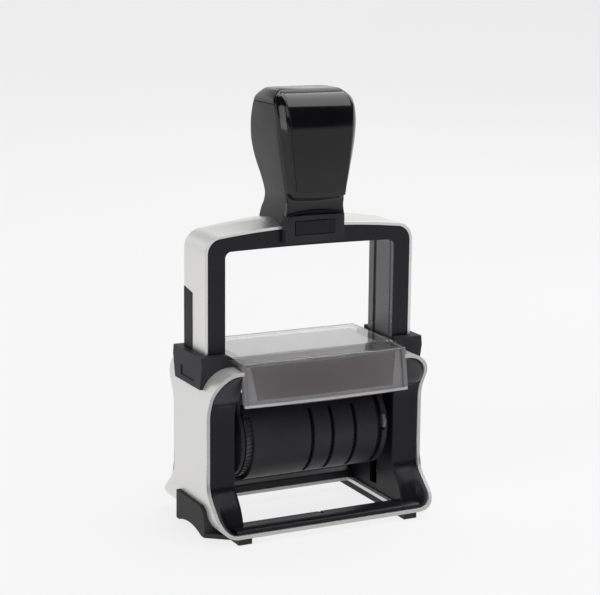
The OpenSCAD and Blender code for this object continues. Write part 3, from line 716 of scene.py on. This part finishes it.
def label():
    """Folded label: a top sheet and a tinted front flap."""
    half, front, back = LABEL_TOP
    sheet = [[[(x, y, HOUSING_TOP + t) for x in steps(-half, half, 8)] for y in steps(front, back, 5)]
             for t in (PAPER, 0.02)]
    add_mesh("label_top", *slab(*sheet), "base", "label_paper", CARD, ("label_card",), 0.05)
    flap = [[[(u / 6 * flap_half(z), cover_front(u * 4.2, z, BEHIND_FRONT + t), z) for u in range(-6, 7)]
             for z in steps(*FLAP_Z, 6)] for t in (0, PAPER)]
    add_mesh("label_front", *slab(*flap), "base", "label_paper", TINTED, ("label_card",), 0.04)


def cover_border():
    """Frosted border inside the cover's front, round the label's flap."""
    foot = [[[(u / 6 * 28.6, cover_front(u * 4.7, z, BEHIND_FRONT + t), z) for u in range(-6, 7)]
             for z in steps(45.1, FLAP_Z[0] - 0.05, 2)] for t in (0, PAPER)]
    add_mesh("cover_border_foot", *slab(*foot), "base", "clear_cover", FROST, (), 0.04)
    for s, side in SIDES:
        strip = [[[(s * x, cover_front(x, z, BEHIND_FRONT + t), z)
                   for x in steps(flap_half(z) + 0.05, 29.5, 3)]
                  for z in steps(*FLAP_Z, 6)] for t in (0, PAPER)]
        add_mesh(f"cover_border_{side}", *slab(*strip), "base", "clear_cover", FROST, (), 0.04)


# ---------- bow ----------


def arch_height(x, top, arch_r):
    """Height of a shallow arch at x."""
    return top - x * x / (2 * arch_r)


def bow_path(half, top, radius, low, arch_r=ARCH_R):
    """Half outline of the bow from a leg's foot up to the middle of the arch."""
    centre_x = half - radius
    corner_z = arch_height(centre_x, top, arch_r) - radius
    path = [(half, z) for z in steps(low, corner_z, 10)]
    path += arc(centre_x, corner_z, radius, 0, 90, 10)[1:]
    path += [(x, arch_height(x, top, arch_r)) for x in steps(centre_x, 0, 10)[1:]]
    return path


def whole(path):
    """Outline from the left foot to the right foot out of its right half."""
    return [(-x, z) for x, z in path] + list(reversed(path))[1:]


def bow_core():
    """Black core with two shallow grooves along its inner side; the inner faces of its legs get a lighter
    black as painted light.
    """
    outer = whole(bow_path(CORE_HIGH.x, CORE_HIGH.z, BOW_CORNER - SKIN, CORE_LOW.z))
    inner = whole(bow_path(*OPENING, CORE_LOW.z, OPENING_ARCH_R))
    ys = (-8.5, -6.9, -6.5, -6.1, -5.7, 3.6, 4.0, 4.6, 5.0, 8.5)
    groove = (0, 0, 0.55, 0.55, 0.2, 0.2, 0.55, 0.55, 0, 0)
    skin, inside = [], []
    for (xo, zo), (xi, zi) in zip(outer, inner):
        away = Vector((xo - xi, 0, zo - zi)).normalized()
        skin.append([(xo, y, zo) for y in ys])
        inside.append([(xi + away.x * g, y, zi + away.z * g) for y, g in zip(ys, groove)])
    piece = add_mesh("bow_core_piece", *slab(skin, inside), "bow", "body_black", BLACK,
                     ("bow_core",), 0.28, 35)
    # painted light: the inner faces of the legs get the lighter copy of the black
    inner_x = (OPENING[0] + 1.5) * MM
    second_material(piece, PAINTED_LIGHT_INNER, lambda face: abs(face.normal.x) > 0.7 and abs(face.center.x) < inner_x)


def bow_skin():
    """Steel skin round the bow; its top rises from both corners to a ridge under the grip."""
    outer = whole(bow_path(SKIN_HIGH.x, SKIN_HIGH.z, BOW_CORNER, SKIN_LOW.z))
    inner = whole(bow_path(CORE_HIGH.x + 0.03, CORE_HIGH.z + 0.03, BOW_CORNER - SKIN, SKIN_LOW.z))
    deep, rise_half, ridge_rise = 8.5, 34, 2.9
    top, under = [], []
    for (xo, zo), (xi, zi) in zip(outer, inner):
        near = max(0.0, 1 - abs(xo) / rise_half) if zo > 95 else 0.0
        ridge = 8.0 - 13 * near
        ys = steps(-deep, ridge, 6) + steps(ridge, deep, 6)[1:]
        lift = [ridge_rise * near * (k / 6 if k <= 6 else 1 - 0.5 * (k - 6) / 6) for k in range(13)]
        top.append([(xo, y, zo + rise) for y, rise in zip(ys, lift)])
        under.append([(xi, y, zi) for y in ys])
    add_mesh("bow_skin_piece", *slab(top, under), "bow", "brushed_steel", BOW_STEEL, ("bow_skin",), 0.16, 50)


def bow_inlays():
    """Black guide strips let into the rear half of the legs' outer sides."""
    for s, side in SIDES:
        low, high = span(f"bow_inlay_{side}")
        slant = 1.2                  # its top end rises this much to the rear
        ys = steps(low.y, 8.45, 4)
        ends = [(low.z, 0), (60, 0), (high.z - slant, slant)]
        grids = [[[(s * x, y, z + rise * (y - low.y) / (high.y - low.y)) for y in ys] for z, rise in ends]
                 for x in (max(abs(low.x), abs(high.x)), CORE_HIGH.x)]
        add_mesh(f"inlay_{side}", *slab(*grids), "bow", "body_black", INLAY,
                 (f"bow_inlay_{side}",), 0.12, 40)


# ---------- grip ----------

# height, half width, front of the sides, back
GRIP = ((101.0, 11.1, 9.1, 10.6), (104.5, 10.6, 9.15, 10.2), (107.5, 10.3, 10.5, 8.5),
        (110, 10.5, 11.0, 7.4), (112, 11.0, 11.6, 6.9), (116, 11.8, 11.85, 7.8), (120, 12.5, 11.9, 9.6),
        (124, 13.2, 11.95, 10.8), (128, 13.8, 11.95, 11.2), (132, 14.2, 11.9, 10.8),
        (136, 14.45, 11.5, 9.8), (139.5, 14.45, 10.5, 8.7), (141.9, 14.1, 9.0, 7.6),
        (144.7, 11.3, 6.6, 6.2), (145.05, 10.7, 6.0, 5.6))
# height and half width of the polished panel
PANEL = ((112.9, 8.9), (120, 9.65), (128, 10.5), (136, 11.15), (141, 11.3), (144.3, 10.8))
# height and front of the glossy surround
BEZEL = ((111.3, 14.3), (113, 14.75), (122, 15.2), (132, 15.0), (137, 14.3), (140, 13.1), (142.2, 11.3),
         (143.8, 8.9), (144.6, 6.8))
LOCK_TOP = span("lock_housing")[1].z
HOOD_Z = 140.8                   # the glossy surround covers the whole grip above this
LIP_Z = 108.8                    # underside of the surround's lower lip
SAG = 0.9                        # how far the lower edges of surround and panel hang in the middle
NECK_BACK = 9.0                  # how far in front of the middle the lip's and the neck's pieces start


def grip_ring(z, grow=0.0):
    """Rounded-rectangle section of the grip at height z."""
    half, front, back = (table(z, GRIP, column) + grow for column in (1, 2, 3))
    front_r, back_r = 1.0, 2.6
    corners = ((-half, -front, front_r, 180, 270), (half, -front, front_r, 270, 360),
               (half, back, back_r, 0, 90), (-half, back, back_r, 90, 180))
    ring = []
    for x, y, r, start, end in corners:
        cx = x - math.copysign(r, x)
        cy = y - math.copysign(r, y)
        ring += [(cx + r * math.cos(math.radians(a)), cy + r * math.sin(math.radians(a)), z)
                 for a in steps(start, end, 7)]
    return ring


def grip_shell():
    """Satin body of the grip, and the glossy hood over its top."""
    body = steps(GRIP[0][0], 112, 16) + steps(112, HOOD_Z - 0.15, 28)[1:]
    add_mesh("grip_shell", *loft([grip_ring(z) for z in body]), "bow", "grip_satin", SATIN,
             ("handle_shell",))
    hood = steps(HOOD_Z, 141.7, 3) + steps(141.9, 144.7, 5) + [145.0]
    add_mesh("grip_hood", *loft([grip_ring(z, 0.1) for z in hood]), "bow", "grip_gloss", GLOSS,
             ("handle_shell",), 0.2, 30)


def bezel_row(z):
    """One level of the glossy surround: steep outer sides, a bevel up to the panel and the front."""
    half = table(z, GRIP, 1) - 0.3
    front = table(z, BEZEL, 1)
    side = min(table(z, GRIP, 2), front - 0.3)
    slope = front - side
    inner = min(half - 0.3, table(z, PANEL, 1) + 0.35)
    bevel = half - 0.35
    edge = [(half, side - 0.5), (half - 0.08, side + 0.15), (bevel, side + slope * 0.2),
            (inner + (bevel - inner) * 0.35, side + slope * 0.75), (inner, front - 0.05),
            (inner - 0.3, front)]
    middle = [(inner - 0.3) * k / 6 for k in range(-5, 6)]
    return [(-x, -y) for x, y in edge] + [(x, -front) for x in middle] + [(x, -y) for x, y in reversed(edge)]


def hang(z, x, sag):
    """Height at x of an edge at z that sags in the middle."""
    return z - sag * (1 - (x / 12) ** 2)


def grip_bezel():
    """Glossy surround of the panel, with a sagging lower lip and a top that rolls back."""
    low_z, root_y, lip_r = BEZEL[0][0], 11.3, 2.5
    rows_out, rows_in = [], []
    for rise in (0, 0.4, 0.8, 1.2, 1.6, 2.0, 2.3):
        z = LIP_Z + rise
        k = 1 - math.sqrt(1 - (rise / lip_r) ** 2)
        row = [(x * (0.97 + 0.03 * k), -root_y + (y + root_y) * k) for x, y in bezel_row(low_z)]
        rows_out.append([(x, y, hang(z, x, SAG)) for x, y in row])
        rows_in.append([(x * 0.94, -NECK_BACK, hang(z, x, SAG)) for x, y in row])
    for z in steps(low_z, 113.5, 5) + steps(113.5, 137, 16)[1:] + steps(137, 144.5, 18)[1:]:
        sag = SAG * max(0.0, 1 - (z - low_z) / 3)
        back = min(table(z, GRIP, 2), table(z, BEZEL, 1)) - 1.6
        row = bezel_row(z)
        rows_out.append([(x, y, hang(z, x, sag)) for x, y in row])
        rows_in.append([(x * 0.96, -back, hang(z, x, sag)) for x, y in row])
    add_mesh("grip_bezel", *slab(rows_out, rows_in), "bow", "grip_gloss", GLOSS, ("handle_bezel",), 0.2, 45)


def grip_panel():
    """Polished panel, slightly crowned, standing just proud of the surround."""
    low, high = PANEL[0][0], PANEL[-1][0]
    corner, proud, crown, sunk = 0.5, 0.25, 0.3, 0.8
    across = [(k / 8, 1 - (k / 8) ** 2) for k in range(-8, 9)]
    rows_out, rows_in = [], []
    for z in [low, low + 0.15, low + 0.4] + steps(low + 1.2, 137, 16) + steps(137, high, 16)[1:]:
        rise = min(z - low, high - z)
        half = table(z, PANEL, 1)
        if rise < corner:
            half -= corner - math.sqrt(corner ** 2 - (corner - rise) ** 2)
        front = table(z, BEZEL, 1)
        sag = SAG * max(0.0, 1 - (z - low) / 4)
        rows_out.append([(u * half, -(front + proud + crown * bow), z - sag * bow) for u, bow in across])
        rows_in.append([(u * half, -(front - sunk), z - sag * bow) for u, bow in across])
    add_mesh("grip_panel", *slab(rows_out, rows_in), "bow", "grip_gloss", GLOSS, ("handle_panel",), 0.18, 40)


def grip_neck():
    """Glossy hollow front of the neck, with an arched lower edge over the lock housing."""
    arch, front = 1.3, 11.2
    rows_out, rows_in = [], []
    for k in steps(0, 1, 10):
        outer, inner = [], []
        for u in steps(-1, 1, 16):
            z = (LOCK_TOP + arch * (1 - u * u)) * (1 - k) + (LIP_Z + 0.2) * k
            x = u * (table(z, GRIP, 1) - 0.02)
            y = -front - 0.2 * (2 * k - 1) ** 2 + 0.25 * abs(u) ** 6
            outer.append((x, y, z))
            inner.append((x, -NECK_BACK, z))
        rows_out.append(outer)
        rows_in.append(inner)
    add_mesh("grip_neck", *slab(rows_out, rows_in), "bow", "grip_gloss", GLOSS, ("handle_shell",), 0.15, 40)


# ---------- stamping unit ----------

DRUM = (15.2, 14.4, 30.0)        # outer and inner radius of the drum, height of its centre
DRUM_X = (-25.9, 25.9)           # its ends
MOUTH = -51                      # angle, above the front, at which the drum's open top starts
# half width, first and last angle of the slots in the drum
DATE_SLOT = (0.72, -41, 62)
YEAR_SLOT = (0.95, -50, 60)
PHRASE_SLOT = (1.2, -38, 72)
CATCH_NOTCH = ((24.2, -18, 29.6), (27, -10, 35.4))


def drum_point(x, r, angle):
    """Point on the drum; the angle runs from the front (0) over the bottom (90) to the back (180)."""
    a = math.radians(angle)
    return (x, -r * math.cos(a), DRUM[2] - r * math.sin(a))


def slot_rows(half, start, end, rounded):
    """Angles and half widths along a slot, with square or with round ends."""
    rows = [(a, half) for a in steps(start, end, 24)]
    if rounded:
        reach = math.degrees(half / DRUM[0])
        rows[0], rows[-1] = (start, half * math.sqrt(0.02)), (end, half * math.sqrt(0.02))
        for k in (0.15, 0.5):
            width = half * math.sqrt(1 - (1 - k) ** 2)
            rows += [(start + reach * k, width), (end - reach * k, width)]
        rows.sort()
    return rows


def drum_slot(piece, x, size, rounded=False):
    """Cuts a slot along the drum's front and the same one along its back."""
    rows = slot_rows(*size, rounded)
    for back in (False, True):
        grids = [[[drum_point(x + u * width, r, 180 - a if back else a) for u in (-1, 1)]
                  for a, width in rows] for r in (DRUM[0] + 2, DRUM[1] - 2)]
        cut(piece, *slab(*grids))


def drum():
    """Drum round the wheels: an open top, slots for the wheels and a notch for the catch."""
    angles = steps(MOUTH, 180 - MOUTH, 96)
    columns = steps(DRUM_X[0], DRUM_X[1], 8)
    grids = [[[drum_point(x, r, a) for x in columns] for a in angles] for r in DRUM[:2]]
    piece = add_mesh("drum_shell", *slab(*grids), "stamping_unit", "unit_black", UNIT, ("drum_cover",))
    for x in WHEELS[1:4]:
        drum_slot(piece, x, DATE_SLOT, True)
    drum_slot(piece, WHEELS[4], YEAR_SLOT)
    drum_slot(piece, WHEELS[0] - 0.3, PHRASE_SLOT)
    cut_box(piece, *CATCH_NOTCH, 1)
    round_edges(piece, 0.2, 40, 3)


# ---------- springs ----------


def springs():
    """Return springs on their rods; the real ones shorten as the bow goes down, these coils are built at one
    length.
    """
    turns, per_turn, sides = 15, 16, 6
    for _, side in SIDES:
        low, high = span(f"return_spring_{side}")
        cx, cy = (low.x + high.x) / 2, (low.y + high.y) / 2
        wire = 0.25
        radius = (high.x - low.x) / 2 - wire
        rings = []
        for i in range(turns * per_turn + 1):
            a = math.tau * i / per_turn
            z = low.z + wire + (high.z - low.z - 2 * wire) * i / (turns * per_turn)
            ring = []
            for k in range(sides):
                b = math.tau * k / sides
                r = radius + wire * math.cos(b)
                ring.append((cx + r * math.cos(a), cy + r * math.sin(a), z + wire * math.sin(b)))
            rings.append(ring)
        piece = add_mesh(f"spring_{side}", *loft(rings), "base", "bright_steel", WIRE,
                         (f"return_spring_{side}",))
        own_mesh(piece)


# ---------- build ----------

steel_band()
columns()
bars()
shoulder_pads()
clear_cover()
cover_rim()
label()
cover_border()
bow_core()
bow_skin()
bow_inlays()
grip_shell()
grip_bezel()
grip_panel()
grip_neck()
drum()
springs()

for node in ("collar_left", "collar_right"):
    cad_node(node, COLLAR, 0.45, 35, 3)
for node in ("foot_left", "foot_right"):
    cad_node(node, SOLE, 0.35, 35, 3)
for node in WHEEL_NODES:
    cad_node(node, WHEEL if node != "phrase_wheel" else DISC, 0.08, 20, 2)
cad_node("pad_housing", BLACK, 0.2)
cad_node("lock_housing", COLLAR, 0.25, 35, 3)
cad_node("lock_button", BUTTON, 0.25, 35, 3)
for node in ("unit_frame", "pad_tray"):
    cad_node(node, UNIT, 0.2)
for node in ("spring_rod_left", "spring_rod_right", "handle_screws", "lock_spring", "wheel_axle",
             "flip_pin_left", "flip_pin_right"):
    cad_node(node, WIRE, 0.08)
cad_node("die_plate", WIRE, 0.1)
cad_node("ink_felt", FELT, 0.3)
cad_node("text_die", TYPE, 0.06)
for node in ("phrase_band", "day_band", "month_band", "year_tens_band", "year_units_band"):
    cad_node(node, TAPE, 0.06)
for node in ("flip_cam_left", "flip_cam_right", "drum_catch"):
    cad_node(node, ACETAL, 0.2)


# ---------- studio ----------


# metres: half width of the floor, its front end, where it bends up, radius of the bend, backdrop's top
STAGE_HALF, STAGE_FRONT, STAGE_BEND, STAGE_R, STAGE_TOP = 3.5, -2.5, 1.6, 0.8, 3.5
# share of the backdrop's height, and how brightly it glows there
GLOW = ((0.0, 0.8), (0.1, 0.8), (0.22, 0.98), (0.32, 0.95), (0.44, 0.3), (1.0, 0.25))


def map_range(nodes, start, end, low, high):
    """Node that maps start..end to low..high."""
    node = nodes.new("ShaderNodeMapRange")
    for socket, value in (("From Min", start), ("From Max", end), ("To Min", low), ("To Max", high)):
        node.inputs[socket].default_value = value
    return node


def floor_white():
    """Pale material whose glow grows to the rear and fades high up on the backdrop."""
    s = Surface("floor_white", (0.12, 0.12, 0.12), 0.7, Specular_IOR_Level=0.0)
    s.vary("Base Color", s.noise((3, 3, 3), 2.0), (0.115, 0.115, 0.115), (0.125, 0.125, 0.125))
    axes = s.nodes.new("ShaderNodeSeparateXYZ")
    s.links.new(s.place, axes.inputs["Vector"])
    rear = map_range(s.nodes, -0.6, -0.15, 0.0, 1.0)
    s.links.new(axes.outputs["Y"], rear.inputs["Value"])
    s.vary("Emission Color", rear.outputs["Result"], 0.82, 1.0, 0.0, 1.0)
    glow = s.nodes.new("ShaderNodeFloatCurve")
    curve = glow.mapping.curves[0]
    curve.points[0].location, curve.points[1].location = GLOW[0], GLOW[-1]
    for point in GLOW[1:-1]:
        curve.points.new(*point)
    glow.mapping.update()
    height = s.nodes.new("ShaderNodeMath")
    height.operation = "DIVIDE"
    height.inputs[1].default_value = STAGE_TOP
    s.links.new(axes.outputs["Z"], height.inputs[0])
    s.links.new(height.outputs["Value"], glow.inputs["Value"])
    s.links.new(glow.outputs["Value"], s.shader.inputs["Emission Strength"])
    return s.material


def floor():
    """Pale glowing floor that curves up into a backdrop far behind."""
    rows = [(STAGE_FRONT, 0.0), (STAGE_BEND, 0.0)] + arc(STAGE_BEND, STAGE_R, STAGE_R, -80, 0, 8)
    rows.append((STAGE_BEND + STAGE_R, STAGE_TOP))
    points = [(x, y, z - 0.00005) for y, z in rows for x in (-STAGE_HALF, STAGE_HALF)]
    faces = [(2 * i, 2 * i + 1, 2 * i + 3, 2 * i + 2) for i in range(len(rows) - 1)]
    mesh = bpy.data.meshes.new("floor")
    mesh.from_pydata(points, [], faces)
    smooth(mesh)
    mesh.materials.append(floor_white())
    sheet = place_object("floor", mesh)


def softbox(name, place, size, power, aim=(0, 0, 0.07)):
    """Rectangular light that faces the stamp; metres and watts."""
    light = bpy.data.lights.new(name, "AREA")
    light.shape = "RECTANGLE"
    light.size, light.size_y = size
    light.energy = power
    lamp = place_object(name, light)
    lamp.location = place
    lamp.rotation_mode = "QUATERNION"
    lamp.rotation_quaternion = (Vector(aim) - Vector(place)).to_track_quat("-Z", "Y")


def camera():
    """Camera to the left of the front and a little above, level with the hand opening."""
    azimuth, elevation, roll = math.radians(-26.7), math.radians(11.8), math.radians(0.55)
    back = Vector((math.sin(azimuth) * math.cos(elevation), -math.cos(azimuth) * math.cos(elevation),
                   math.sin(elevation)))
    level = Vector((math.cos(azimuth), math.sin(azimuth), 0))
    up = back.cross(level)
    right = math.cos(roll) * level + math.sin(roll) * up
    top = -math.sin(roll) * level + math.cos(roll) * up
    data = bpy.data.cameras.new("camera")
    data.lens, data.sensor_width = 106.4, 36
    data.clip_start, data.clip_end = 0.05, 20
    eye = place_object("camera", data)
    place = Vector((0.0002, 0, 0.0747)) + back * 0.5943
    eye.matrix_world = Matrix.Translation(place) @ Matrix((right, top, back)).transposed().to_4x4()
    bpy.context.scene.camera = eye


def sky():
    """A pale band of light all round the horizon under a dark ceiling."""
    world = bpy.data.worlds.new("studio")
    world.use_nodes = True
    nodes, links = world.node_tree.nodes, world.node_tree.links
    place = nodes.new("ShaderNodeTexCoord")
    axes = nodes.new("ShaderNodeSeparateXYZ")
    fade = map_range(nodes, 0.02, 0.1, 0.75, 0.04)
    nodes["Background"].inputs["Color"].default_value = (1, 1, 1, 1)
    links.new(place.outputs["Generated"], axes.inputs["Vector"])
    links.new(axes.outputs["Z"], fade.inputs["Value"])
    links.new(fade.outputs["Result"], nodes["Background"].inputs["Strength"])
    bpy.context.scene.world = world


def studio():
    sky()
    bpy.context.scene.view_settings.view_transform = "Standard"
    floor()
    softbox("top", (0.45, 0.05, 1.15), (1.6, 1.2), 19)
    softbox("front_left", (-0.5, -1.1, 0.9), (1.1, 0.9), 5)
    softbox("strip_left", (-0.95, -0.35, 0.35), (0.35, 1.2), 3.4)


studio()
camera()
